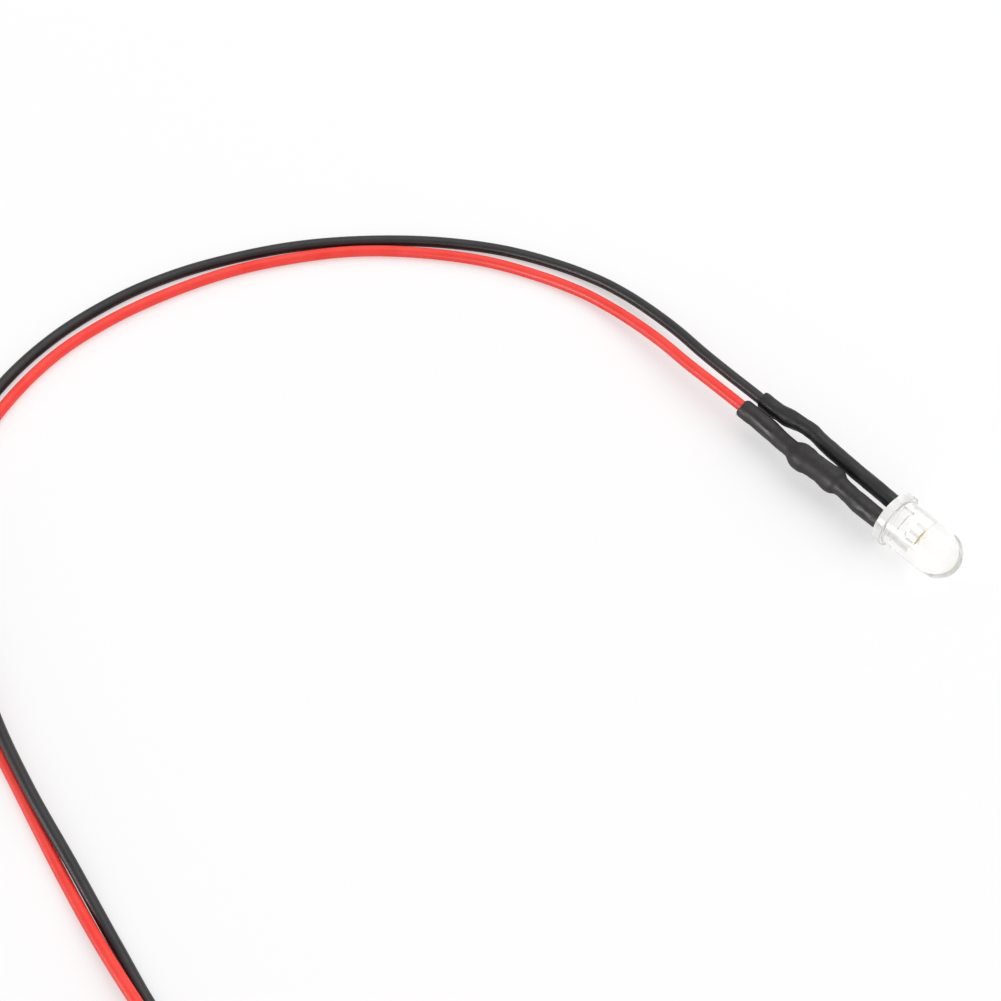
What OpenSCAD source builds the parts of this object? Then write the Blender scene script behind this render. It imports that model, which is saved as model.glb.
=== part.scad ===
// Light-emitting diode, 5 mm, ready wired: clear lens, series resistor and two laid wires.
// +X is the way the light leaves and +Z is up. The origin is on the lens axis, at the front
// face of the flange, and the part lies on the rim of its flange and on its wires.

/* [Lens] */
// Diameter of the moulded body
body_d = 5; // [4.8:0.1:5.6]
// How far the flange stands out from the body
flange_rim = 0.4; // [0.3:0.05:0.6]
// Thickness of the flange
flange_t = 1; // [0.8:0.1:1.3]
// Length from the front of the flange to the tip of the dome
lens_l = 7.7; // [7.2:0.1:9]
// Chamfer on the two edges of the flange
flange_edge = 0.1; // [0.04:0.02:0.2]
// Distance from the body to the flat that marks the cathode
flat_step = 0.05; // [0.02:0.01:0.2]

/* [Lead frame] */
// Distance between the two leads
lead_pitch = 2.54; // [2.4:0.02:2.7]
// Width and thickness of a lead
lead_w = 0.5; // [0.4:0.02:0.54]
// Length of the anode lead behind the flange
anode_lead_l = 3.9; // [3:0.1:4.2]
// Distance from the front of the flange to the shoulders of the leads
shoulder_x = 0.9; // [0.5:0.1:1.2]
// Distance from the front of the flange to the rim of the reflector cup
cup_x = 3; // [2.8:0.1:4]
// Outside diameter of the reflector cup
cup_d = 1.6; // [1.5:0.05:1.8]
// Length of the cup
cup_l = 1.1; // [0.8:0.1:1.4]
// Diameter of the reflector at the rim
reflector_d = 1.2; // [1:0.05:1.3]
// Diameter of the reflector's floor
reflector_floor_d = 0.7; // [0.6:0.05:0.9]
// Depth of the reflector
reflector_depth = 0.4; // [0.3:0.05:0.5]
// Gap between the cup and the anode post
post_gap = 0.26; // [0.15:0.01:0.3]
// Width of the head of the anode post
post_w = 0.6; // [0.4:0.05:0.8]
// How far the anode post ends short of the rim of the cup
post_drop = 0.1; // [0:0.05:0.4]

/* [Chip] */
// Side of the square chip
chip_w = 0.36; // [0.24:0.02:0.4]
// Thickness of the chip
chip_t = 0.12; // [0.08:0.01:0.2]
// Diameter of a bond wire
bond_d = 0.04; // [0.03:0.01:0.06]
// Height of a bond wire's loop above the rim of the cup
bond_loop = 0.45; // [0.3:0.05:0.7]

/* [Resistor] */
// Length of the resistor's coated body
resistor_l = 6.3; // [5.8:0.1:6.8]
// Diameter of the body over its two end caps
resistor_d = 2.3; // [2.2:0.05:2.5]
// Diameter of the body at its waist
waist_d = 1.96; // [1.9:0.02:2.1]
// Diameter of the ceramic core
core_d = 1.2; // [1:0.05:1.3]
// Wall of a pressed end cap
cap_wall = 0.15; // [0.1:0.01:0.17]
// Length of an end cap
cap_l = 1.5; // [1.1:0.1:1.8]
// Thickness of the coat over the end of a cap
coat_t = 0.3; // [0.25:0.05:0.4]
// Diameter of the resistor's leads
resistor_lead_d = 0.5; // [0.44:0.02:0.54]
// Distance from the back of the flange to the body of the resistor
resistor_gap = 6.15; // [5.9:0.05:6.4]

/* [Wires] */
// Diameter of a wire over its insulation
wire_d = 1.2; // [1.1:0.02:1.24]
// Diameter of the bundle of strands
strands_d = 0.4; // [0.3:0.02:0.44]
// Length of the bare strands inside a sleeve
bared_l = 3.6; // [3:0.1:4]
// Length of the tinned tip at the far end of a wire
tip_l = 5; // [3:0.5:8]

/* [Sleeves] */
// Length of the sleeve over the resistor
anode_sleeve_l = 19.9; // [19.5:0.1:22]
// Shrunk bore of that sleeve where nothing fills it
anode_bore_d = 1.36; // [1.34:0.02:1.5]
// Wall of that sleeve at its shrunk bore
anode_wall = 0.32; // [0.2:0.02:0.36]
// Length of the sleeve over the plain joint
cathode_sleeve_l = 19; // [18.5:0.1:21]
// Shrunk bore of the plain sleeve where nothing fills it
cathode_bore_d = 1.16; // [1.1:0.02:1.3]
// Wall of the plain sleeve at its shrunk bore
cathode_wall = 0.24; // [0.2:0.02:0.36]
// Gap between a sleeve and the piece that it grips
grip = 0.04; // [0.03:0.01:0.06]

/* [Solder] */
// Length of a soldered lap
lap_l = 2.8; // [2:0.1:3]
// Gap between the two pieces of a lap, filled with solder
lap_gap = 0.01; // [0.01:0.01:0.03]
// Thickness of the solder over the two pieces of a lap
solder_t = 0.06; // [0.04:0.01:0.08]

/* [Hidden] */

// Routes of the two wires as [x, y, lift], from inside their sleeves to the ends of the
// insulation. Lift 1 is the height of the lens axis and lift 0 lies on the standing surface.
// The black wire leans on the red one after the far left bend, and the red on the black later.
red_route = [
    [-18, -1.1, 1], [-21.5, -1.1, 1], [-25, -1.1, 0.96], [-29, -1, 0.83], [-33, -0.7, 0.65],
    [-37, -0.6, 0.43], [-41, -0.8, 0.22], [-45, -1.5, 0.09], [-50, -3.3, 0],
    [-55.5, -6.3, 0], [-61, -10.7, 0], [-65.6, -15.6, 0], [-69.3, -21.3, 0],
    [-72.2, -27.4, 0], [-74.2, -34.2, 0], [-75.3, -41.3, 0], [-75.2, -48.4, 0],
    [-73.4, -55.8, 0], [-70.2, -62.6, 0], [-65, -69, 0], [-58.2, -74.2, 0],
    [-50.4, -78, 0], [-42.2, -80.7, 0], [-33.5, -82.9, 0], [-24.5, -85.1, 0],
    [-15.8, -87, 0.22], [-7.2, -88.4, 0.4], [1.4, -89.3, 0.2], [10, -89.4, 0],
    [18.6, -88.6, 0]
];
black_route = [
    [-18, 1, 1], [-21.5, 1, 1], [-25, 1, 0.96], [-29, 1.2, 0.83], [-33, 1.6, 0.65],
    [-37, 1.8, 0.43], [-41, 1.7, 0.22], [-45, 1, 0.09], [-50, -0.8, 0],
    [-55.5, -3.9, 0], [-61, -8.4, 0], [-66, -13.8, 0], [-70.2, -19.6, 0],
    [-73.4, -25.7, 0], [-75.8, -32, 0], [-77.2, -38.9, 0], [-77.3, -47, 0],
    [-75.6, -55, 0.04], [-71.8, -62.6, 0.26], [-65.6, -68.8, 0.57], [-58, -73.1, 0.57],
    [-50, -76.7, 0.48], [-42, -79.8, 0.46], [-33.5, -82.1, 0.44], [-24.5, -83.9, 0.26],
    [-15.8, -85.7, 0], [-7.2, -87.4, 0], [1.2, -88.1, 0], [9.4, -88.1, 0],
    [17.5, -87.3, 0]
];

round_sides = 96;
small_sides = 48;
wire_sides = 8;
wire_rings = 40;
rod_sides = 12;
sleeve_sides = 24;
sleeve_step = 0.6;
joint_rings = 8;
bond_sides = 6;
bond_rings = 9;
past = 0.01;

body_r = body_d / 2;
flange_r = body_r + flange_rim;
floor_z = -flange_r;
body_l = lens_l - body_r;
back = -flange_t;
row_y = lead_pitch / 2;
half_w = lead_w / 2;

// How deep a leg reaches into the lens behind its shoulder, and the neck under the cup
leg_in = 0.8;
neck_l = 0.3;
cup_r = cup_d / 2;
cup_foot_x = cup_x - cup_l;
anvil_y = row_y + half_w;
post_inner_y = -(cup_r + post_gap);
post_outer_y = min(post_inner_y - post_w, -(row_y + half_w));
post_top_x = cup_x - post_drop;
chip_top_x = cup_x - reflector_depth + chip_t;
pad_y = chip_w / 4;

// Axis of the resistor as [y, z], and the rise of the sleeve over its body and its caps
resistor_at = [-1.23, 0.17];
resistor_front = back - resistor_gap;
resistor_rear = resistor_front - resistor_l;
foot_l = 0.25;
slope_l = 1.15;
cap_in = coat_t + cap_l / 2;
cap_bulge = 1.15;

lead_r = resistor_lead_d / 2;
strands_r = strands_d / 2;
wire_r = wire_d / 2;

// Inside a sleeve the wire comes first, then bare strands, then the lap
wire_start = red_route[0][0];
wire_in = 0.8;
bare_gap = 1;
lap_end = wire_start + bare_gap;
strands_front = wire_start + bared_l;
strand_bend = 0.2;
anode_lead_end = back - anode_lead_l;
lead_bend = 0.3;
solder_taper = 0.35;

// Heights of the members of each lap
front_lap_z = half_w + lap_gap + lead_r;
strands_below_z = resistor_at[1] - lead_r - lap_gap - strands_r;
cathode_lap_z = -0.1;
strands_above_z = cathode_lap_z + half_w + lap_gap + strands_r;

// Axis of the sleeve behind the resistor, as [y, z], and how far back it settles there
rear_at = [-1.18, -0.05];
settle_l = 1.6;

// Bends of the long cathode lead, as [distance behind the flange, shift along Y, height]
cathode_bends = [
    [4, 0.06, 0], [8, 0.16, 0], [11.3, 0.34, 0], [12.6, 0.48, 0],
    [14, 0.27, 0.1], [15.5, -0.03, 0.12]
];
cathode_lap_shift = -0.12;
cathode_lap_rise = 0.1;
cathode_step_x = back - cathode_bends[3][0];
joint_swell = 0.2;
swell_l = 2;
swell_ahead = 0.3;
swell_x = lap_end + swell_ahead;

// Centre lines of what lies in the two sleeves, from the flange backwards
mouth_points = 3;
anode_line = concat(
    [
        [back, -row_y, front_lap_z / 2],
        [anode_lead_end - lead_bend, -row_y, front_lap_z / 2],
        [resistor_front + lead_bend, resistor_at[0], resistor_at[1]],
        [resistor_rear - strand_bend, resistor_at[0], resistor_at[1]],
        [resistor_rear - settle_l, rear_at[0], rear_at[1]],
        [lap_end, rear_at[0], rear_at[1]]
    ],
    [for (i = [0:mouth_points]) route_point(red_route, i)]
);
cathode_line = concat(
    [[back, row_y, 0]],
    [for (b = cathode_bends) [back - b[0], row_y + b[1], b[2]]],
    [[lap_end, row_y + cathode_lap_shift, cathode_lap_rise]],
    [for (i = [0:mouth_points]) route_point(black_route, i)]
);

function ease(u) = (1 - cos(180 * max(0, min(1, u)))) / 2;

function bump(d, w) = abs(d) > w ? 0 : (1 + cos(180 * d / w)) / 2;

function unit(v) = v / norm(v);

function point_at(line, x) = [
    x,
    lookup(x, [for (p = line) [p[0], p[1]]]),
    lookup(x, [for (p = line) [p[0], p[2]]])
];

// Ring of points that faces along X
function flat_ring(c, r, n) = [
    for (k = [0:n - 1])
        [c[0], c[1] + r * cos(360 * k / n), c[2] + r * sin(360 * k / n)]
];

// Ring of points square to a path
function turned_ring(path, i, r, n) =
    let(
        ahead = path[min(i + 1, len(path) - 1)],
        behind = path[max(i - 1, 0)],
        along = unit(ahead - behind),
        side = unit(cross(along, [0, 0, 1])),
        up = cross(side, along)
    )
    [
        for (k = [0:n - 1])
            path[i] + r * (cos(360 * k / n) * side + sin(360 * k / n) * up)
    ];

function route_point(route, i) = [route[i][0], route[i][1], (1 - route[i][2]) * (floor_z + wire_r)];

// Smooth curve through the points of a route, at u spans from its start
function route_at(route, u) =
    let(
        last = len(route) - 1,
        i = min(floor(u), last - 1),
        t = u - i,
        b = route_point(route, i),
        c = route_point(route, i + 1),
        a = i > 0 ? route_point(route, i - 1) : 2 * b - c,
        d = i + 2 <= last ? route_point(route, i + 2) : 2 * c - b,
        p = b + t / 2 * ((c - a) + t * (2 * a - 5 * b + 4 * c - d + t * (3 * b - a - 3 * c + d)))
    )
    [p[0], p[1], max(p[2], floor_z + wire_r)];

function wire_path(route) = [
    for (k = [0:wire_rings - 1])
        route_at(route, k * (len(route) - 1) / (wire_rings - 1))
];

// Bore of the sleeve that is shrunk down over the resistor
function over_resistor(x) =
    (waist_d / 2 + grip - anode_bore_d / 2)
        * ease((resistor_front + foot_l - x) / slope_l)
        * ease((x - resistor_rear + foot_l) / slope_l)
    + (resistor_d - waist_d) / 2
        * (bump(x - resistor_front + cap_in + foot_l, cap_bulge)
            + bump(x - resistor_rear - cap_in, cap_bulge));

function anode_bore(x) = max(
    anode_bore_d / 2 + over_resistor(x),
    x < wire_start + wire_in ? wire_r + grip : 0
);

function cathode_bore(x) = max(
    cathode_bore_d / 2 + joint_swell * bump(x - swell_x, swell_l),
    x < wire_start + wire_in ? wire_r + grip : 0
);

// Outside of a shrunk sleeve: its wall keeps the same area whatever it is stretched over
function outside(bore, free_bore_d, wall) =
    sqrt(bore * bore + wall * (wall + free_bore_d));

function stations(from, to) =
    let(n = ceil((from - to) / sleeve_step))
    [for (i = [0:n]) from - i * (from - to) / n];

// Closed skin over a row of rings, listed from the flange backwards or along a wire
module skin(rings) {
    n = len(rings[0]);
    m = len(rings);
    polyhedron(
        points = [for (ring = rings) each ring],
        faces = concat(
            [[for (k = [n - 1:-1:0]) k]],
            [
                for (i = [0:m - 2], k = [0:n - 1])
                    [i * n + k, i * n + (k + 1) % n, i * n + n + (k + 1) % n, i * n + n + k]
            ],
            [[for (k = [0:n - 1]) (m - 1) * n + k]]
        ),
        convexity = 10
    );
}

// Skin over a row of rings that comes back to its first ring
module loop_skin(rings) {
    n = len(rings[0]);
    m = len(rings);
    polyhedron(
        points = [for (ring = rings) each ring],
        faces = [
            for (i = [0:m - 1], k = [0:n - 1])
                let(a = i * n, b = ((i + 1) % m) * n, j = (k + 1) % n)
                [a + k, a + j, b + j, b + k]
        ],
        convexity = 10
    );
}

// Round rod through a few points, with ends that face along X
module rod(line, r) {
    skin([for (p = line) flat_ring(p, r, rod_sides)]);
}

module lens_shape() {
    rotate([0, 90, 0])
        rotate_extrude($fn = round_sides)
            union() {
                polygon([
                    [0, back], [flange_r - flange_edge, back], [flange_r, back + flange_edge],
                    [flange_r, -flange_edge], [flange_r - flange_edge, 0], [0, 0]
                ]);
                translate([0, -past])
                    square([body_r, body_l + past]);
                translate([0, body_l])
                    intersection() {
                        circle(r = body_r, $fn = round_sides);
                        square(body_r + past);
                    }
            }
}

module lens() {
    color([0.93, 0.95, 0.96, 0.45])
        difference() {
            lens_shape();
            translate([back - past, body_r + flat_step, -flange_r])
                cube([flange_t + 2 * past, flange_rim, 2 * flange_r]);
            cathode_blank();
            anode_lead();
            anode_bond_wire();
            cathode_bond_wire();
        }
}

// Straight leg of a lead in the lens, from behind the flange to its shoulder
module leg(side, from_x) {
    translate([from_x, side * row_y - half_w, -half_w])
        cube([shoulder_x - from_x, lead_w, lead_w]);
}

module frame_plate(outline) {
    translate([0, 0, -half_w])
        linear_extrude(height = lead_w)
            polygon(outline);
}

// Cathode lead with its anvil and a solid cup
module cathode_blank() {
    leg(1, back - leg_in);
    frame_plate([
        [shoulder_x - past, row_y - half_w], [cup_foot_x - neck_l, -cup_r / 2],
        [cup_foot_x + past, -cup_r / 2], [cup_foot_x + past, cup_r / 2],
        [post_top_x, cup_r / 2], [post_top_x, anvil_y],
        [shoulder_x - past, anvil_y]
    ]);
    translate([cup_foot_x, 0, 0])
        rotate([0, 90, 0])
            cylinder(h = cup_l, d = cup_d, $fn = small_sides);
}

module cathode_lead() {
    // The bent stretch is square and follows the line of the sleeve
    bends = [
        for (p = cathode_line)
            if (p[0] < back && p[0] >= lap_end)
                [p[0], p[1], p[0] <= cathode_step_x ? cathode_lap_z : 0]
    ];
    color("silver") {
        difference() {
            cathode_blank();
            reflector();
        }
        skin([
            for (p = concat([[back - leg_in + past, row_y, 0]], bends))
                [
                    for (c = [[-1, -1], [1, -1], [1, 1], [-1, 1]])
                        [p[0], p[1] + c[0] * half_w, p[2] + c[1] * half_w]
                ]
        ]);
    }
}

module anode_lead() {
    color("silver") {
        leg(-1, anode_lead_end);
        frame_plate([
            [shoulder_x - past, -row_y + half_w], [cup_foot_x - neck_l, post_inner_y],
            [post_top_x, post_inner_y], [post_top_x, post_outer_y],
            [shoulder_x - past, -row_y - half_w]
        ]);
    }
}

module reflector() {
    translate([cup_x - reflector_depth, 0, 0])
        rotate([0, 90, 0])
            cylinder(h = reflector_depth, d1 = reflector_floor_d, d2 = reflector_d, $fn = small_sides);
}

module led_chip() {
    color("lightyellow")
        translate([cup_x - reflector_depth, -chip_w / 2, -chip_w / 2])
            cube([chip_t, chip_w, chip_w]);
}

module phosphor() {
    color("khaki")
        difference() {
            reflector();
            led_chip();
            anode_bond_wire();
            cathode_bond_wire();
        }
}

// Looped wire from a pad on the chip, at from_y, to a landing at [to_x, to_y]
module bond_wire(from_y, to_x, to_y) {
    mid_y = (from_y + to_y) / 2;
    half_y = (to_y - from_y) / 2;
    arch = [
        for (k = [0:bond_rings - 1])
            let(a = 180 * k / (bond_rings - 1))
            [cup_x + bond_loop * sin(a), mid_y - half_y * cos(a), 0]
    ];
    path = concat([[chip_top_x, from_y, 0]], arch, to_x < cup_x ? [[to_x, to_y, 0]] : []);
    color("gold")
        skin([for (i = [0:len(path) - 1]) turned_ring(path, i, bond_d / 2, bond_sides)]);
}

module anode_bond_wire() {
    bond_wire(-pad_y, post_top_x, post_inner_y - post_w / 3);
}

module cathode_bond_wire() {
    bond_wire(pad_y, cup_x, (reflector_d + cup_d) / 4);
}

module at_resistor() {
    translate([0, resistor_at[0], resistor_at[1]])
        rotate([0, 90, 0])
            children();
}

module resistor_core() {
    inset = coat_t + cap_wall;
    color("wheat")
        at_resistor()
            translate([0, 0, resistor_rear + inset])
                cylinder(h = resistor_l - 2 * inset, d = core_d, $fn = small_sides);
}

// Pressed cap on one end of the core, open towards the middle
module end_cap(end_x, inward) {
    foot = end_x + inward * coat_t;
    at_resistor()
        difference() {
            translate([0, 0, min(foot, foot + inward * cap_l)])
                cylinder(h = cap_l, r = core_d / 2 + cap_wall, $fn = small_sides);
            translate([0, 0, inward > 0 ? foot + cap_wall : foot - cap_wall - cap_l])
                cylinder(h = cap_l, d = core_d, $fn = small_sides);
        }
}

module resistor_front_lead() {
    color("gainsboro") {
        end_cap(resistor_front, -1);
        rod([
            [anode_lead_end + lap_l, -row_y, front_lap_z],
            [anode_lead_end - lead_bend, -row_y, front_lap_z],
            [resistor_front + lead_bend, resistor_at[0], resistor_at[1]],
            [resistor_front - coat_t - past, resistor_at[0], resistor_at[1]]
        ], lead_r);
    }
}

module resistor_rear_lead() {
    color("gainsboro") {
        end_cap(resistor_rear, 1);
        rod([
            [resistor_rear + coat_t + past, resistor_at[0], resistor_at[1]],
            [lap_end, resistor_at[0], resistor_at[1]]
        ], lead_r);
    }
}

// Lacquer over the core and the caps, hollow for them and for the leads
module resistor_coat() {
    end_r = core_d / 2;
    cap_r = core_d / 2 + cap_wall;
    front_in = resistor_front - coat_t;
    rear_in = resistor_rear + coat_t;
    inner = [
        [lead_r, resistor_front], [lead_r, front_in], [cap_r, front_in], [cap_r, front_in - cap_l],
        [core_d / 2, front_in - cap_l], [core_d / 2, rear_in + cap_l], [cap_r, rear_in + cap_l],
        [cap_r, rear_in], [lead_r, rear_in], [lead_r, resistor_rear]
    ];
    outer = [
        for (x = stations(back, back - anode_sleeve_l))
            if (x < resistor_front - coat_t / 2 && x > resistor_rear + coat_t / 2)
                [anode_bore(x) - grip, x]
    ];
    color("burlywood")
        at_resistor()
            rotate_extrude($fn = small_sides)
                polygon(concat(
                    inner,
                    [[end_r, resistor_rear]],
                    [for (k = [len(outer) - 1:-1:0]) outer[k]],
                    [[end_r, resistor_front]]
                ));
}

// Solder round a lap that is lap_w wide and lap_h high, thinner at both ends
module solder_body(line, front_x, rear_x, lap_w, lap_h) {
    w = lap_w / 2;
    h = lap_h / 2;
    t = solder_t;
    corners = [
        [w + t, -h], [w + t, h], [w, h + t], [-w, h + t],
        [-w - t, h], [-w - t, -h], [-w, -h - t], [w, -h - t]
    ];
    skin([
        for (k = [0:joint_rings])
            let(
                u = 2 * k / joint_rings - 1,
                s = 1 - solder_taper * u * u,
                c = point_at(line, front_x + (rear_x - front_x) * k / joint_rings)
            )
            [for (q = corners) [c[0], c[1] + q[0] * s, c[2] + q[1] * s]]
    ]);
}

module front_solder_joint() {
    rear_x = anode_lead_end - solder_t;
    color("lightgrey")
        difference() {
            solder_body(
                [[back, -row_y, front_lap_z / 2], [rear_x, -row_y, front_lap_z / 2]],
                anode_lead_end + lap_l + solder_t, rear_x,
                lead_w, front_lap_z + half_w + lead_r
            );
            anode_lead();
            resistor_front_lead();
        }
}

module rear_solder_joint() {
    top_z = resistor_at[1] + lead_r;
    foot_z = strands_below_z - strands_r;
    mid_z = (top_z + foot_z) / 2;
    front_x = lap_end + lap_l;
    color("lightgrey")
        difference() {
            solder_body(
                [[lap_end, resistor_at[0], mid_z], [front_x, resistor_at[0], mid_z]],
                front_x, lap_end - solder_t,
                resistor_lead_d, top_z - foot_z
            );
            resistor_rear_lead();
            red_wire_strands();
        }
}

module cathode_solder_joint() {
    top_z = strands_above_z + strands_r;
    foot_z = cathode_lap_z - half_w;
    mid_z = (top_z + foot_z) / 2;
    color("lightgrey")
        difference() {
            solder_body(
                [for (p = cathode_line) [p[0], p[1], mid_z]],
                lap_end + lap_l, lap_end - solder_t,
                lead_w, top_z - foot_z
            );
            cathode_lead();
            black_wire_strands();
        }
}

module red_wire_strands() {
    color("silver")
        rod([
            [strands_front, resistor_at[0], strands_below_z],
            [lap_end - strand_bend, resistor_at[0], strands_below_z],
            route_point(red_route, 0)
        ], strands_r);
}

module black_wire_strands() {
    bends = [
        for (p = cathode_line)
            if (p[0] > lap_end && p[0] < strands_front) [p[0], p[1], strands_above_z]
    ];
    color("silver")
        rod(concat(
            [[strands_front, point_at(cathode_line, strands_front)[1], strands_above_z]],
            bends,
            [[lap_end - strand_bend, point_at(cathode_line, lap_end)[1], strands_above_z]],
            [route_point(black_route, 0)]
        ), strands_r);
}

// Tube shrunk down over what lies on a line, from the flange to its own end
module shrunk_sleeve(line, length, free_bore_d, wall, bore) {
    xs = stations(back, back - length);
    color([0.2, 0.2, 0.2])
        loop_skin(concat(
            [
                for (x = xs)
                    let(r = outside(bore(x), free_bore_d, wall))
                    flat_ring(point_at(line, x), r, sleeve_sides)
            ],
            [
                for (k = [len(xs) - 1:-1:0])
                    let(x = xs[k], r = bore(x))
                    flat_ring(point_at(line, x), r, sleeve_sides)
            ]
        ));
}

module anode_sleeve() {
    shrunk_sleeve(anode_line, anode_sleeve_l, anode_bore_d, anode_wall, function(x) anode_bore(x));
}

module cathode_sleeve() {
    shrunk_sleeve(cathode_line, cathode_sleeve_l, cathode_bore_d, cathode_wall, function(x) cathode_bore(x));
}

// Insulated wire along its route
module wire(route) {
    path = wire_path(route);
    skin([for (i = [0:wire_rings - 1]) turned_ring(path, i, wire_r, wire_sides)]);
}

// Tinned strands that stand out of the far end of a wire
module tip(route) {
    path = wire_path(route);
    end = path[wire_rings - 1];
    along = unit(end - path[wire_rings - 2]);
    tip_path = [end, end + tip_l / 2 * along, end + tip_l * along];
    skin([for (i = [0:2]) turned_ring(tip_path, i, strands_r, wire_sides)]);
}

module red_wire() {
    color("red")
        wire(red_route);
}

module black_wire() {
    color([0.23, 0.23, 0.23])
        wire(black_route);
}

module red_wire_tip() {
    color("silver")
        tip(red_route);
}

module black_wire_tip() {
    color("silver")
        tip(black_route);
}

lens();
cathode_lead();
anode_lead();
led_chip();
phosphor();
anode_bond_wire();
cathode_bond_wire();
resistor_core();
resistor_coat();
resistor_front_lead();
resistor_rear_lead();
front_solder_joint();
rear_solder_joint();
cathode_solder_joint();
red_wire_strands();
black_wire_strands();
anode_sleeve();
cathode_sleeve();
red_wire();
black_wire();
red_wire_tip();
black_wire_tip();
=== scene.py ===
# A 5 mm light-emitting diode, ready wired, laid on a pale floor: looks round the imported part
import math

import bpy
from mathutils import Matrix, Vector, noise


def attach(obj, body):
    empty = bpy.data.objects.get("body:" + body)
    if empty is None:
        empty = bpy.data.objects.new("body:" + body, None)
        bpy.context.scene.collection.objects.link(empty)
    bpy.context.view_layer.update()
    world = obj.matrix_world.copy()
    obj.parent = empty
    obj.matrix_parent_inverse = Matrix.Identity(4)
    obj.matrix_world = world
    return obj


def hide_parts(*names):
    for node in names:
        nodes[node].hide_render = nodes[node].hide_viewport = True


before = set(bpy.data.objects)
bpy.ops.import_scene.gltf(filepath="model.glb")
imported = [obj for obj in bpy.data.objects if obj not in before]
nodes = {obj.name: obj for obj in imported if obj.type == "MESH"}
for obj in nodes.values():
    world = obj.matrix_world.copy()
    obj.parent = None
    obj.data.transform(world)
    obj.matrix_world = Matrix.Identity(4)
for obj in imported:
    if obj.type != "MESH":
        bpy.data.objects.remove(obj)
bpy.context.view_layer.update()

MM = 0.001


def link(name, data):
    """A new object of this data in the scene."""
    obj = bpy.data.objects.new(name, data)
    bpy.context.scene.collection.objects.link(obj)
    return obj


# Camera: its heading round Z, its tilt below level, the point it looks at and its distance

HEADING = math.radians(48.0)
TILT = math.radians(52.6)
TARGET = Vector((-30.1, -26.1, -2.9)) * MM
DISTANCE = 285.0 * MM
LENS_MM, SENSOR_MM = 101.473, 36
CLIP_NEAR, CLIP_FAR = 0.01, 20

right = Vector((math.cos(HEADING), math.sin(HEADING), 0))
away = Vector((-math.sin(HEADING), math.cos(HEADING), 0))
forward = away * math.cos(TILT) - Vector((0, 0, math.sin(TILT)))
up = right.cross(forward)

camera = link("camera", bpy.data.cameras.new("camera"))
camera.data.lens = LENS_MM
camera.data.sensor_width = SENSOR_MM
camera.data.clip_start = CLIP_NEAR
camera.data.clip_end = CLIP_FAR
camera.matrix_world = Matrix.Translation(TARGET - forward * DISTANCE) @ Matrix(
    (right, up, -forward)
).transposed().to_4x4()
bpy.context.scene.camera = camera


# Material helpers

NOISE_ROUGHNESS = 0.55


class Paint:
    """A node material on one Principled shader, with coordinates in the part's millimetres."""

    def __init__(self, name, colour, rough, **shader):
        self.mat = bpy.data.materials.new(name)
        self.mat.use_nodes = True
        self.tree = self.mat.node_tree
        self.tree.nodes.clear()
        self.out = self.add("ShaderNodeOutputMaterial")
        self.shader = self.add("ShaderNodeBsdfPrincipled")
        self.join(self.shader.outputs["BSDF"], self.out.inputs["Surface"])
        self.shader.inputs["Base Color"].default_value = (*colour, 1)
        self.shader.inputs["Roughness"].default_value = rough
        for key, value in shader.items():
            self.shader.inputs[key.replace("_", " ")].default_value = value
        place = self.add("ShaderNodeTexCoord")
        scale = self.add("ShaderNodeVectorMath", operation="SCALE")
        scale.inputs["Scale"].default_value = 1 / MM
        self.join(place.outputs["Object"], scale.inputs[0])
        self.place = scale.outputs["Vector"]

    def add(self, kind, **values):
        node = self.tree.nodes.new(kind)
        for key, value in values.items():
            setattr(node, key, value)
        return node

    def join(self, a, b):
        self.tree.links.new(a, b)

    def stretched(self, x, y, z):
        """The coordinates, multiplied along each axis."""
        node = self.add("ShaderNodeMapping")
        node.inputs["Scale"].default_value = (x, y, z)
        self.join(self.place, node.inputs["Vector"])
        return node.outputs["Vector"]

    def noise(self, scale, detail=4, place=None):
        """Noise from 0 to 1, mostly near 0.5, finer where its scale is larger."""
        node = self.add("ShaderNodeTexNoise")
        node.inputs["Scale"].default_value = scale
        node.inputs["Detail"].default_value = detail
        node.inputs["Roughness"].default_value = NOISE_ROUGHNESS
        self.join(place or self.place, node.inputs["Vector"])
        return node.outputs["Fac"]

    def spread(self, value, low, high, to_low, to_high):
        """The value, mapped from one range to another."""
        node = self.add("ShaderNodeMapRange")
        for key, number in zip(
            ("From Min", "From Max", "To Min", "To Max"), (low, high, to_low, to_high)
        ):
            node.inputs[key].default_value = number
        self.join(value, node.inputs["Value"])
        return node.outputs["Result"]

    def colour(self, value, dark, light, low=0.3, high=0.7):
        """Base colour, dark where the value is low and light where it is high."""
        node = self.add("ShaderNodeValToRGB")
        for element, at, shade in zip(node.color_ramp.elements, (low, high), (dark, light)):
            element.position = at
            element.color = (*shade, 1)
        self.join(value, node.inputs["Fac"])
        self.join(node.outputs["Color"], self.shader.inputs["Base Color"])

    def rough(self, value, to_low, to_high, low=0.3, high=0.7):
        """Roughness from to_low, where the value is low, to to_high."""
        self.join(self.spread(value, low, high, to_low, to_high), self.shader.inputs["Roughness"])

    def bump(self, height, depth, after=None):
        """Relief of a height from 0 to 1 and a depth in millimetres, on top of an earlier one."""
        node = self.add("ShaderNodeBump")
        node.inputs["Strength"].default_value = 1
        node.inputs["Distance"].default_value = depth * MM
        self.join(height, node.inputs["Height"])
        if after:
            self.join(after, node.inputs["Normal"])
        self.join(node.outputs["Normal"], self.shader.inputs["Normal"])
        return node.outputs["Normal"]

    def mix(self, share, first, second):
        """The first shader with a share of the second."""
        node = self.add("ShaderNodeMixShader")
        self.join(share, node.inputs["Fac"])
        self.join(first, node.inputs[1])
        self.join(second, node.inputs[2])
        return node.outputs["Shader"]


# Mesh and curve helpers

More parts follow.
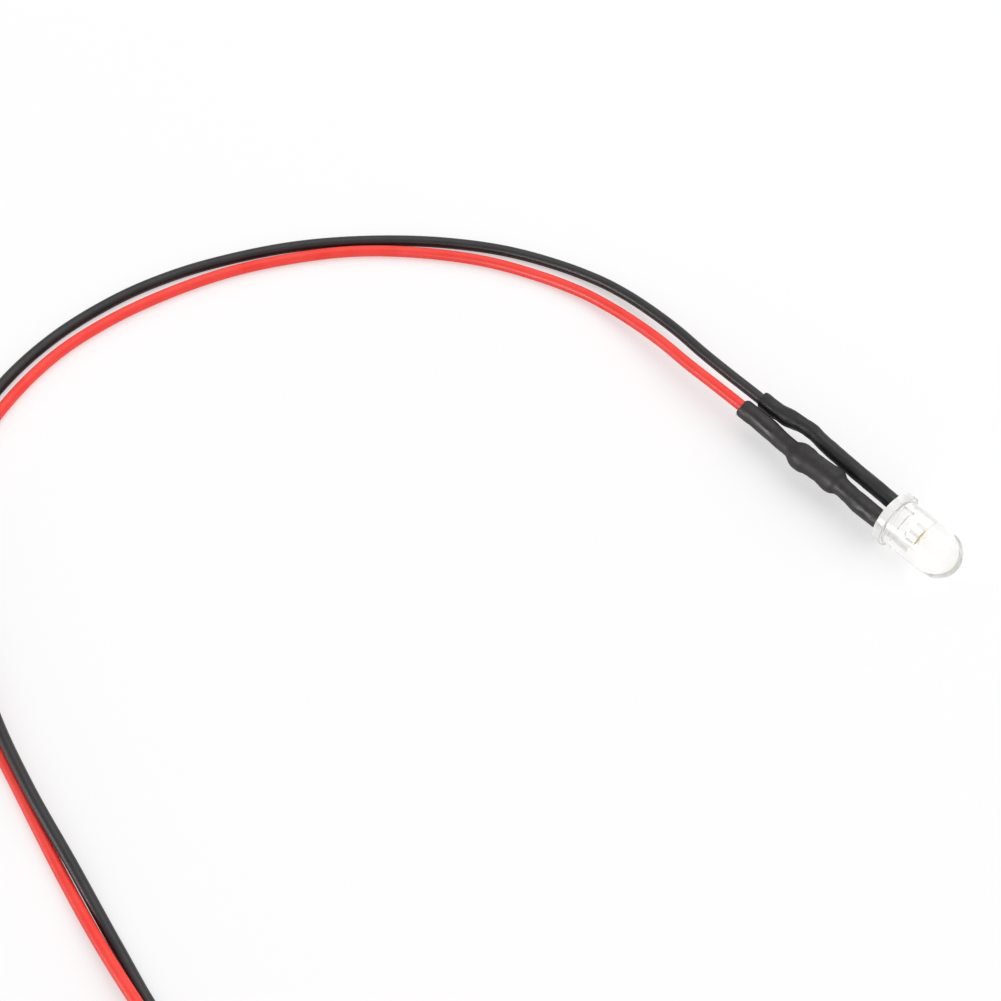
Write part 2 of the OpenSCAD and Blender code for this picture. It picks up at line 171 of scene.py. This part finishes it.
def put(obj, slot, paint, *stands_for, with_body=True):
    """Paint a piece, hide the CAD nodes it stands for, and say what it rides on; slot is not used.
    """
    obj.data.materials.clear()
    obj.data.materials.append(paint.mat)
    if stands_for:
        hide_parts(*stands_for)
    if with_body:
        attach(obj, "root")
    return obj


def mesh_piece(name, points, faces, sharp):
    """A smooth piece of points in millimetres, with its edges sharp from this angle on."""
    mesh = bpy.data.meshes.new(name)
    mesh.from_pydata([tuple(c * MM for c in p) for p in points], [], faces)
    mesh.validate()
    mesh.update()
    mesh.polygons.foreach_set("use_smooth", [True] * len(mesh.polygons))
    mesh.set_sharp_from_angle(angle=math.radians(sharp))
    return link(name, mesh)


def rings_to_faces(rings, sides, closed, forward=False):
    """Quads over rings that follow each other; a closed row comes back to its first ring."""
    faces = []
    for i in range(rings if closed else rings - 1):
        a, b = i * sides, (i + 1) % rings * sides
        for k in range(sides):
            j = (k + 1) % sides
            quad = (a + k, b + k, b + j, a + j)
            faces.append(quad[::-1] if forward else quad)
    return faces


def smooth_at(table, x):
    """Value at x of a smooth curve through the rows (x, value) of a table, in any order."""
    rows = sorted(table)
    if x <= rows[0][0]:
        return rows[0][1]
    if x >= rows[-1][0]:
        return rows[-1][1]
    i = max(k for k in range(len(rows) - 1) if rows[k][0] <= x)

    def slope(k):
        lo, hi = max(k - 1, 0), min(k + 1, len(rows) - 1)
        return (rows[hi][1] - rows[lo][1]) / (rows[hi][0] - rows[lo][0])

    h = rows[i + 1][0] - rows[i][0]
    t = (x - rows[i][0]) / h
    return (
        (2 * t**3 - 3 * t**2 + 1) * rows[i][1]
        + (t**3 - 2 * t**2 + t) * h * slope(i)
        + (3 * t**2 - 2 * t**3) * rows[i + 1][1]
        + (t**3 - t**2) * h * slope(i + 1)
    )


# Wires: the routes of part.scad, in metres

WIRE_R = 0.0006
FLOOR = -0.0029
RED_ROUTE = [
    (-0.018, -0.0011, 0), (-0.0215, -0.0011, 0), (-0.025, -0.0011, -0.00009),
    (-0.029, -0.001, -0.00039), (-0.033, -0.0007, -0.0008), (-0.037, -0.0006, -0.00131),
    (-0.041, -0.0008, -0.00179), (-0.045, -0.0015, -0.00209), (-0.05, -0.0033, -0.0023),
    (-0.0555, -0.0063, -0.0023), (-0.061, -0.0107, -0.0023), (-0.0656, -0.0156, -0.0023),
    (-0.0693, -0.0213, -0.0023), (-0.0722, -0.0274, -0.0023), (-0.0742, -0.0342, -0.0023),
    (-0.0753, -0.0413, -0.0023), (-0.0752, -0.0484, -0.0023), (-0.0734, -0.0558, -0.0023),
    (-0.0702, -0.0626, -0.0023), (-0.065, -0.069, -0.0023), (-0.0582, -0.0742, -0.0023),
    (-0.0504, -0.078, -0.0023), (-0.0422, -0.0807, -0.0023), (-0.0335, -0.0829, -0.0023),
    (-0.0245, -0.0851, -0.0023), (-0.0158, -0.087, -0.00179), (-0.0072, -0.0884, -0.00138),
    (0.0014, -0.0893, -0.00184), (0.01, -0.0894, -0.0023), (0.0186, -0.0886, -0.0023),
]
BLACK_ROUTE = [
    (-0.018, 0.001, 0), (-0.0215, 0.001, 0), (-0.025, 0.001, -0.00009), (-0.029, 0.0012, -0.00039),
    (-0.033, 0.0016, -0.0008), (-0.037, 0.0018, -0.00131), (-0.041, 0.0017, -0.00179),
    (-0.045, 0.001, -0.00209), (-0.05, -0.0008, -0.0023), (-0.0555, -0.0039, -0.0023),
    (-0.061, -0.0084, -0.0023), (-0.066, -0.0138, -0.0023), (-0.0702, -0.0196, -0.0023),
    (-0.0734, -0.0257, -0.0023), (-0.0758, -0.032, -0.0023), (-0.0772, -0.0389, -0.0023),
    (-0.0773, -0.047, -0.0023), (-0.0756, -0.055, -0.00221), (-0.0718, -0.0626, -0.0017),
    (-0.0656, -0.0688, -0.00099), (-0.058, -0.0731, -0.00099), (-0.05, -0.0767, -0.0012),
    (-0.042, -0.0798, -0.00124), (-0.0335, -0.0821, -0.00129), (-0.0245, -0.0839, -0.0017),
    (-0.0158, -0.0857, -0.0023), (-0.0072, -0.0874, -0.0023), (0.0012, -0.0881, -0.0023),
    (0.0094, -0.0881, -0.0023), (0.0175, -0.0873, -0.0023),
]
SPAN_STEPS = 14
ROUND_STEPS = 8

# The rounded edge of a wire's cut end: distance back from the end, and share of the radius there
END_EDGE = [(0.00006, 1), (0.00002, 0.965), (0, 0.9)]


def smooth_route(route):
    """Closely spaced points on the curve through a route's points, none below the floor."""
    points = [Vector(p) for p in route]
    last = len(points) - 1
    made = []
    for i in range(last):
        b, c = points[i], points[i + 1]
        a = points[i - 1] if i > 0 else 2 * b - c
        d = points[i + 2] if i + 2 <= last else 2 * c - b
        for k in range(SPAN_STEPS + (i == last - 1)):
            t = k / SPAN_STEPS
            bend = 2 * a - 5 * b + 4 * c - d + t * (3 * b - a - 3 * c + d)
            p = b + t / 2 * ((c - a) + t * bend)
            p.z = max(p.z, FLOOR + WIRE_R)
            made.append(p)
    return made


def wire(name, points):
    """A round wire along the points, capped, with a rounded edge at its cut end."""
    data = bpy.data.curves.new(name, "CURVE")
    data.dimensions = "3D"
    data.bevel_depth = WIRE_R
    data.bevel_resolution = ROUND_STEPS
    data.use_fill_caps = True
    end = points[-1]
    rounded = [end + (points[-2] - end).normalized() * back for back, _ in END_EDGE]
    spline = data.splines.new("POLY")
    spline.points.add(len(points) + len(rounded) - 2)
    for place, p in zip(spline.points, points[:-1] + rounded):
        place.co = (*p, 1)
    for place, (_, share) in zip(spline.points[-len(END_EDGE):], END_EDGE):
        place.radius = share
    spline.use_smooth = True
    return link(name, data)


# Tinned tips: six strands turn round a seventh and are welded together at their end, in metres

TIP_L = 0.005
TIP_OVERLAP = 0.0008
TIP_TURNS = 2.2
STRAND_R = 0.0002 / 3
OUTER_STRANDS = 6
STRAND_STEPS, STRAND_SIDES = 48, 10
STAGGER = 0.00012
END_SHARE = 0.55
WELD_FROM, WELD_SPAN, WELD_SQUEEZE = 0.8, 0.2, 0.12


def strand_middle(s, start, along, side, over):
    """Points along the middle of strand s; strand 0 runs straight."""
    off = 0 if s == 0 else 2 * STRAND_R
    points = []
    for i in range(STRAND_STEPS + 1):
        u = i / STRAND_STEPS
        a = 2 * math.pi * (s / OUTER_STRANDS + TIP_TURNS * u)
        squeeze = 1 - WELD_SQUEEZE * max(0, (u - WELD_FROM) / WELD_SPAN)
        short = STAGGER * (s % 3) if i == STRAND_STEPS else 0
        c = start + along * ((TIP_L + TIP_OVERLAP) * u - short)
        c += (side * math.cos(a) + over * math.sin(a)) * off * squeeze
        points.append(c)
    return points


def twisted_tip(name, end, along):
    """The strands that stick out of a wire's cut end, each with a cap at both ends."""
    side = along.cross(Vector((0, 0, 1))).normalized()
    over = side.cross(along)
    start = end - along * TIP_OVERLAP
    sides = STRAND_SIDES
    points, faces = [], []
    for s in range(OUTER_STRANDS + 1):
        first = len(points)
        middle = strand_middle(s, start, along, side, over)
        for i, c in enumerate(middle):
            run = (middle[min(i + 1, STRAND_STEPS)] - middle[max(i - 1, 0)]).normalized()
            e1 = run.cross(over).normalized()
            e2 = run.cross(e1)
            r = STRAND_R * (END_SHARE if i == STRAND_STEPS else 1)
            for k in range(sides):
                b = 2 * math.pi * k / sides
                points.append((c + (e1 * math.cos(b) + e2 * math.sin(b)) * r) / MM)
        for i in range(STRAND_STEPS):
            for k in range(sides):
                j = (k + 1) % sides
                p = first + i * sides
                faces.append((p + k, p + j, p + sides + j, p + sides + k))
        faces.append(tuple(first + k for k in reversed(range(sides))))
        faces.append(tuple(first + STRAND_STEPS * sides + k for k in range(sides)))
    return mesh_piece(name, points, faces, sharp=60)


red_pvc = Paint("red pvc", (0.96, 0.046, 0.03), 0.36, Specular_IOR_Level=0.42)
black_pvc = Paint("black pvc", (0.014, 0.0135, 0.014), 0.4, Specular_IOR_Level=0.45)
for paint, dark, light in (
    (red_pvc, (0.94, 0.037, 0.023), (0.98, 0.056, 0.038)),
    (black_pvc, (0.011, 0.0105, 0.011), (0.02, 0.019, 0.02)),
):
    paint.colour(paint.noise(0.35), dark, light, low=0.35, high=0.65)
    paint.rough(paint.noise(1.6, detail=6), to_low=0.3, to_high=0.46)
    paint.bump(paint.noise(5, detail=5), depth=0.012)

tinned = Paint("tinned strands", (0.78, 0.77, 0.74), 0.3, Metallic=1)
tinned.colour(tinned.noise(2.5), dark=(0.62, 0.6, 0.57), light=(0.82, 0.81, 0.79))
tinned.rough(tinned.noise(6), to_low=0.22, to_high=0.42)
tinned.bump(tinned.noise(9), depth=0.006)

for name, route, paint, node in (
    ("red", RED_ROUTE, red_pvc, "red_wire"),
    ("black", BLACK_ROUTE, black_pvc, "black_wire"),
):
    points = smooth_route(route)
    obj = put(wire(name + "_insulation", points), name + "_insulation", paint, node)
    along = (points[-1] - points[-2]).normalized()
    tip = put(
        twisted_tip(name + "_tinned_tip", points[-1], along),
        "tinned_strands", tinned, node + "_tip",
    )


# Shrunk sleeves: rows of place along X, the middle's Y and Z, and outer radius, in millimetres

ANODE_SLEEVE = [
    (-1.04, -1.37, 0.25, 1.00), (-2.5, -1.40, 0.25, 1.02), (-4.0, -1.42, 0.25, 1.04),
    (-4.6, -1.38, 0.25, 1.02), (-5.0, -1.35, 0.25, 0.99), (-5.5, -1.30, 0.25, 0.97),
    (-6.5, -1.21, 0.20, 0.97), (-7.0, -1.17, 0.18, 1.05), (-7.5, -1.15, 0.17, 1.31),
    (-8.0, -1.19, 0.17, 1.38), (-8.5, -1.21, 0.17, 1.35), (-9.0, -1.22, 0.17, 1.29),
    (-9.5, -1.21, 0.17, 1.25), (-10.0, -1.25, 0.17, 1.25), (-10.5, -1.27, 0.17, 1.26),
    (-11.0, -1.35, 0.17, 1.29), (-11.5, -1.40, 0.17, 1.41), (-12.0, -1.42, 0.17, 1.42),
    (-12.5, -1.40, 0.15, 1.40), (-13.0, -1.39, 0.13, 1.23), (-13.5, -1.40, 0.11, 0.97),
    (-14.0, -1.37, 0.07, 0.94), (-15.0, -1.28, -0.03, 0.96), (-16.0, -1.18, -0.05, 0.97),
    (-17.0, -1.12, -0.05, 1.02), (-18.0, -1.11, -0.01, 1.01), (-19.0, -1.11, 0, 1.00),
    (-19.9, -1.15, 0, 1.01), (-20.64, -1.17, 0, 1.01),
]
CATHODE_SLEEVE = [
    (-1.04, 1.36, 0, 0.84), (-4.5, 1.41, 0, 0.84), (-7.5, 1.47, 0, 0.84),
    (-9.5, 1.53, 0, 0.84), (-11.0, 1.60, 0, 0.84), (-12.5, 1.71, 0, 0.81),
    (-13.0, 1.78, 0.01, 0.81), (-13.6, 1.85, 0.02, 0.82), (-14.0, 1.82, 0.04, 0.82),
    (-14.5, 1.78, 0.07, 0.81), (-15.0, 1.67, 0.10, 0.82), (-15.5, 1.53, 0.11, 0.89),
    (-16.5, 1.31, 0.12, 0.99), (-17.0, 1.25, 0.10, 0.97), (-17.5, 1.19, 0.07, 0.92),
    (-18.0, 1.14, 0.03, 0.90), (-19.0, 1.10, 0, 0.90), (-20.05, 1.11, 0, 0.91),
]
SLEEVE_SIDES = 72
SLEEVE_STEP = 0.12
WIRE_R_MM = 0.6

# Wrinkles, coarse and fine: height, density along and round the sleeve, sign of the seed
WRINKLES = ((0.028, 0.9, 1.3, 1), (0.01, 2.6, 2.2, -1))

# Insets that round the ends, and how far the rings near the rear end wander along X
LIP, FRONT_EDGE, REAR_EDGE = 0.09, 0.02, 0.03
RAGGED_DENSITY, RAGGED_SEED = 1.7, 5
RAGGED_BEFORE, RAGGED_EDGE, RAGGED_LIP, RAGGED_MOUTH = 0.08, 0.16, 0.2, 0.1

# The mouth, which lies close round the wire, and the throat, where the bore starts to widen
MOUTH_GAP, MOUTH_X = 0.03, 0.02
THROAT_GAP, THROAT_X, THROAT_RINGS = 0.01, 1.2, 10


def sleeve(name, rows, wall, seed):
    """A shrunk sleeve through the rows, with a bore inside its wall and the wire in its mouth."""
    front, rear = rows[0][0], rows[-1][0]
    count = round((front - rear) / SLEEVE_STEP)
    table = {k: [(r[0], r[k]) for r in rows] for k in (1, 2, 3)}

    def wrinkle(x, a):
        total = 0
        for height, along, around, sign in WRINKLES:
            where = (x * along, math.cos(a) * around, math.sin(a) * around + sign * seed)
            total += height * noise.noise(where)
        return total

    def ring(x, inset, ragged=0):
        y, z, r = (smooth_at(table[k], x) for k in (1, 2, 3))
        points = []
        for k in range(SLEEVE_SIDES):
            a = 2 * math.pi * k / SLEEVE_SIDES
            rim = (math.cos(a) * RAGGED_DENSITY, math.sin(a) * RAGGED_DENSITY, seed + RAGGED_SEED)
            end = ragged * noise.noise(rim)
            s = r - inset + (wrinkle(x, a) if inset < wall else 0)
            points.append((x + end, y + s * math.cos(a), z + s * math.sin(a)))
        return points

    xs = [front - (front - rear) * i / count for i in range(count + 1)]
    insets = {0: FRONT_EDGE, count: REAR_EDGE}
    ragged = {count - 1: RAGGED_BEFORE, count: RAGGED_EDGE}
    mouth = smooth_at(table[3], rear) - WIRE_R_MM - MOUTH_GAP
    rings = [ring(front, LIP)]
    rings += [ring(x, insets.get(i, 0), ragged.get(i, 0)) for i, x in enumerate(xs)]
    rings.append(ring(rear, LIP, RAGGED_LIP))
    rings.append(ring(rear + MOUTH_X, mouth, RAGGED_MOUTH))
    rings.append(ring(rear + THROAT_X, mouth + THROAT_GAP))
    rings += [ring(x, wall) for x in reversed(xs[:-THROAT_RINGS])]
    points = [p for r in rings for p in r]
    return mesh_piece(name, points, rings_to_faces(len(rings), SLEEVE_SIDES, True), sharp=50)


def heat_shrink(name, dark, light):
    """A satin black, with a fine grain on top of wrinkles that run along the sleeve."""
    paint = Paint(name, light, 0.42, Specular_IOR_Level=0.42)
    paint.colour(paint.noise(0.6, detail=6), dark, light, low=0.35, high=0.65)
    paint.rough(paint.noise(0.45), to_low=0.28, to_high=0.6, low=0.38, high=0.62)
    fine = paint.bump(paint.noise(14, detail=3), depth=0.005)
    coarse = paint.noise(2.4, detail=5, place=paint.stretched(0.45, 1, 1))
    paint.bump(coarse, depth=0.05, after=fine)
    return paint


put(
    sleeve("anode_shrunk_sleeve", ANODE_SLEEVE, wall=0.24, seed=3), "shrunk_sleeve",
    heat_shrink("heat shrink over the resistor", (0.0075, 0.006, 0.0064), (0.0205, 0.0163, 0.0158)),
    "anode_sleeve",
)
put(
    sleeve("cathode_shrunk_sleeve", CATHODE_SLEEVE, wall=0.2, seed=11), "shrunk_sleeve",
    heat_shrink("plain heat shrink", (0.006, 0.006, 0.0066), (0.013, 0.0135, 0.0145)),
    "cathode_sleeve",
)


# Lens: one turned body with rounded edges, cut flat on the cathode's side of the flange

BODY_R, FLANGE_R, FLANGE_T, DOME_X, FLAT_Y = 2.5, 2.9, 1.0, 5.2, 2.55
FLAT_END = 0.001
EDGE = 0.1
TIP_ANGLE = 0.6
BACK_RINGS = (0.02, 0.8, 1.6, 2.3)
BARREL_RINGS = (1.0, 2.2, 3.4, 4.4)
EDGE_STEPS, DOME_STEPS, LENS_SIDES = 6, 40, 160


def corner(cx, cr, radius, start, end, steps=EDGE_STEPS):
    """Rows (x, radius) on an arc round a centre, from one angle to another."""
    return [
        (
            cx + radius * math.cos(math.radians(start + (end - start) * i / steps)),
            cr + radius * math.sin(math.radians(start + (end - start) * i / steps)),
        )
        for i in range(steps + 1)
    ]


def lens_profile():
    """Rows (x, radius) from the centre of the back round to the tip."""
    back = -FLANGE_T
    rows = [(back, r) for r in BACK_RINGS]
    rows += corner(back + EDGE, FLANGE_R - EDGE, EDGE, 180, 90)
    rows += [(back / 2, FLANGE_R)]
    rows += corner(-EDGE, FLANGE_R - EDGE, EDGE, 90, 0)
    rows += corner(EDGE, BODY_R + EDGE, EDGE, 180, 270)
    rows += [(x, BODY_R) for x in BARREL_RINGS]
    rows += corner(DOME_X, 0, BODY_R, 90, TIP_ANGLE, DOME_STEPS)
    return rows


def turned_lens(name):
    rows = lens_profile()
    points = []
    for x, r in rows:
        for k in range(LENS_SIDES):
            a = 2 * math.pi * k / LENS_SIDES
            y = r * math.cos(a)
            if x <= FLAT_END:
                y = min(y, FLAT_Y)
            points.append((x, y, r * math.sin(a)))
    faces = rings_to_faces(len(rows), LENS_SIDES, False, forward=True)
    faces.append(tuple(reversed(range(LENS_SIDES))))
    last = (len(rows) - 1) * LENS_SIDES
    faces.append(tuple(last + k for k in range(LENS_SIDES)))
    return mesh_piece(name, points, faces, sharp=40)


# Clear epoxy, slightly warm, with its depths along X in millimetres

BACK_ROUGH, DULL_DEPTH = 0.3, 0.06
FLANGE_HAZE, BODY_HAZE, HAZE_EDGE = 0.18, 0.05, 0.02
HAZE_COLOUR = (0.97, 0.965, 0.94, 1)
SHADOW_COLOUR = (0.93, 0.935, 0.935, 1)

epoxy = Paint(
    "clear epoxy", (0.99, 0.984, 0.968), 0.02,
    IOR=1.53, Transmission_Weight=1, Specular_IOR_Level=0.5,
)

# The back, which was the open side of the casting mould, is dull
along_x = epoxy.add("ShaderNodeSeparateXYZ")
epoxy.join(epoxy.place, along_x.inputs[0])
dull = epoxy.spread(along_x.outputs["X"], -FLANGE_T, -FLANGE_T + DULL_DEPTH, BACK_ROUGH, 0)
gloss = epoxy.spread(epoxy.noise(0.8), low=0.35, high=0.75, to_low=0.01, to_high=0.05)
either = epoxy.add("ShaderNodeMath", operation="MAXIMUM")
epoxy.join(dull, either.inputs[0])
epoxy.join(gloss, either.inputs[1])
epoxy.join(either.outputs[0], epoxy.shader.inputs["Roughness"])
epoxy.bump(epoxy.noise(0.7, detail=2), depth=0.012)

# A trace of haze, stronger in the flange
milk = epoxy.add("ShaderNodeBsdfDiffuse")
milk.inputs["Color"].default_value = HAZE_COLOUR
cloud = epoxy.spread(along_x.outputs["X"], -HAZE_EDGE, HAZE_EDGE, FLANGE_HAZE, BODY_HAZE)
hazy = epoxy.mix(cloud, epoxy.shader.outputs["BSDF"], milk.outputs["BSDF"])

# Shadow rays pass straight through, so that the clear lens keeps a light shadow
path = epoxy.add("ShaderNodeLightPath")
through = epoxy.add("ShaderNodeBsdfTransparent")
through.inputs["Color"].default_value = SHADOW_COLOUR
surface = epoxy.mix(path.outputs["Is Shadow Ray"], hazy, through.outputs["BSDF"])
epoxy.join(surface, epoxy.out.inputs["Surface"])
put(turned_lens("clear_lens"), "clear_epoxy", epoxy, "lens")


# CAD nodes that stay: the lead frame, the chip and what lies inside the sleeves

def metal(name, colour, rough):
    """A metal drawn out along X, with faint streaks in its gloss and relief."""
    paint = Paint(name, colour, rough, Metallic=1)
    dark = tuple(c * 0.86 for c in colour)
    paint.colour(paint.noise(1.4, detail=5), dark, colour)
    streaks = paint.noise(4, detail=5, place=paint.stretched(0.25, 1, 1))
    paint.rough(streaks, to_low=rough * 0.7, to_high=rough * 1.4)
    paint.bump(paint.noise(12, place=paint.stretched(0.2, 1, 1)), depth=0.004)
    return paint


def mottled(name, colour, rough, scale, dark, light, detail=4, grain=None):
    """A paint that varies from dark to light; grain is the scale and the depth of its relief."""
    paint = Paint(name, colour, rough)
    paint.colour(paint.noise(scale, detail), dark, light)
    if grain:
        paint.bump(paint.noise(grain[0]), depth=grain[1])
    return paint


lead_metal = metal("tinned lead frame", (0.86, 0.86, 0.85), 0.2)
gold = metal("gold wire", (0.9, 0.66, 0.28), 0.18)
resistor_metal = metal("resistor caps and leads", (0.74, 0.74, 0.73), 0.3)
solder = metal("solder", (0.68, 0.69, 0.71), 0.26)
phosphor = mottled(
    "phosphor", (0.68, 0.66, 0.38), 0.6, scale=6, detail=6,
    dark=(0.56, 0.54, 0.29), light=(0.7, 0.68, 0.44), grain=(30, 0.004),
)
chip = mottled(
    "chip", (0.5, 0.58, 0.64), 0.15, scale=8, dark=(0.42, 0.5, 0.56), light=(0.55, 0.62, 0.68)
)
ceramic = mottled(
    "resistor core", (0.86, 0.84, 0.78), 0.7, scale=3,
    dark=(0.8, 0.78, 0.71), light=(0.9, 0.88, 0.83), grain=(18, 0.008),
)
lacquer = mottled(
    "resistor lacquer", (0.62, 0.45, 0.24), 0.32, scale=2,
    dark=(0.56, 0.4, 0.2), light=(0.66, 0.5, 0.29), grain=(7, 0.01),
)

for slot, paint, names in (
    ("lead_frame", lead_metal, ("cathode_lead", "anode_lead")),
    ("chip", chip, ("led_chip",)),
    ("phosphor", phosphor, ("phosphor",)),
    ("bond_wire", gold, ("anode_bond_wire", "cathode_bond_wire")),
    ("resistor_ceramic", ceramic, ("resistor_core",)),
    ("resistor_lacquer", lacquer, ("resistor_coat",)),
    ("resistor_metal", resistor_metal, ("resistor_front_lead", "resistor_rear_lead")),
    ("solder", solder, ("front_solder_joint", "rear_solder_joint", "cathode_solder_joint")),
    ("tinned_strands", tinned, ("red_wire_strands", "black_wire_strands")),
):
    for node in names:
        put(nodes[node], slot, paint, with_body=False)


# Floor and light, in metres

FLOOR_HALF = 3.0
FLOOR_GAP = 0.00001
FLOOR_WHITE = 0.5
WHITE = (0.985, 0.985, 0.985, 1)
WORLD_LIGHT = 0.73
LAMP_TARGET = Vector((-0.03, -0.03, 0))
LIGHT_BOUNCES = 32


def seen_directly(tree, share):
    """A factor that is share for camera and transmission rays, and nothing for all others."""
    path = tree.nodes.new("ShaderNodeLightPath")
    both = tree.nodes.new("ShaderNodeMath")
    both.operation = "MAXIMUM"
    tree.links.new(path.outputs["Is Camera Ray"], both.inputs[0])
    tree.links.new(path.outputs["Is Transmission Ray"], both.inputs[1])
    part = tree.nodes.new("ShaderNodeMath")
    part.operation = "MULTIPLY"
    part.inputs[1].default_value = share
    tree.links.new(both.outputs[0], part.inputs[0])
    return part.outputs[0]


# The floor is half white where it is seen, and keeps the part's shadow
floor_mesh = bpy.data.meshes.new("floor")
floor_mesh.from_pydata(
    [
        (x * FLOOR_HALF, y * FLOOR_HALF, FLOOR - FLOOR_GAP)
        for x, y in ((-1, -1), (1, -1), (1, 1), (-1, 1))
    ],
    [], [(0, 1, 2, 3)],
)
floor = link("floor", floor_mesh)
floor_paint = Paint("floor", (0.99, 0.975, 0.982), 0.9, Specular_IOR_Level=0.0)
floor.data.materials.append(floor_paint.mat)
white = floor_paint.add("ShaderNodeEmission")
white.inputs["Color"].default_value = WHITE
white.inputs["Strength"].default_value = 1
pale = floor_paint.mix(
    seen_directly(floor_paint.tree, FLOOR_WHITE),
    floor_paint.shader.outputs["BSDF"], white.outputs["Emission"],
)
floor_paint.join(pale, floor_paint.out.inputs["Surface"])

# The world is white where it is seen, and lights the part at its own level
world = bpy.data.worlds.new("world")
world.use_nodes = True
sky_tree = world.node_tree
sky = sky_tree.nodes["Background"]
sky.inputs["Color"].default_value = (1, 1, 1, 1)
level = sky_tree.nodes.new("ShaderNodeMapRange")
level.inputs["To Min"].default_value = WORLD_LIGHT
level.inputs["To Max"].default_value = 1
sky_tree.links.new(seen_directly(sky_tree, 1), level.inputs["Value"])
sky_tree.links.new(level.outputs["Result"], sky.inputs["Strength"])
bpy.context.scene.world = world


def lamp(name, towards, distance, width, height, power):
    """A soft oval lamp that stands in this direction from the part and faces it."""
    light = bpy.data.lights.new(name, "AREA")
    light.shape = "ELLIPSE"
    light.size = width
    light.size_y = height
    light.energy = power
    obj = link(name, light)
    direction = Vector(towards).normalized()
    obj.location = LAMP_TARGET + direction * distance
    obj.rotation_euler = direction.to_track_quat("Z", "Y").to_euler()
    return obj


lamp("back softbox", towards=(-0.05, 0.45, 1.0), distance=0.9, width=1.2, height=1.2, power=3.8)

# A reflector card that only the gloss of the surfaces sees
gloss_card = lamp(
    "front gloss card", towards=(-0.1, -1.0, 0.24), distance=0.9, width=1.3, height=0.4, power=9.0
)
gloss_card.visible_diffuse = False

bpy.context.scene.view_settings.view_transform = "Standard"

# The clear lens throws light back inside itself many times
light_paths = bpy.context.scene.cycles
light_paths.max_bounces = LIGHT_BOUNCES
light_paths.glossy_bounces = LIGHT_BOUNCES
light_paths.transmission_bounces = LIGHT_BOUNCES
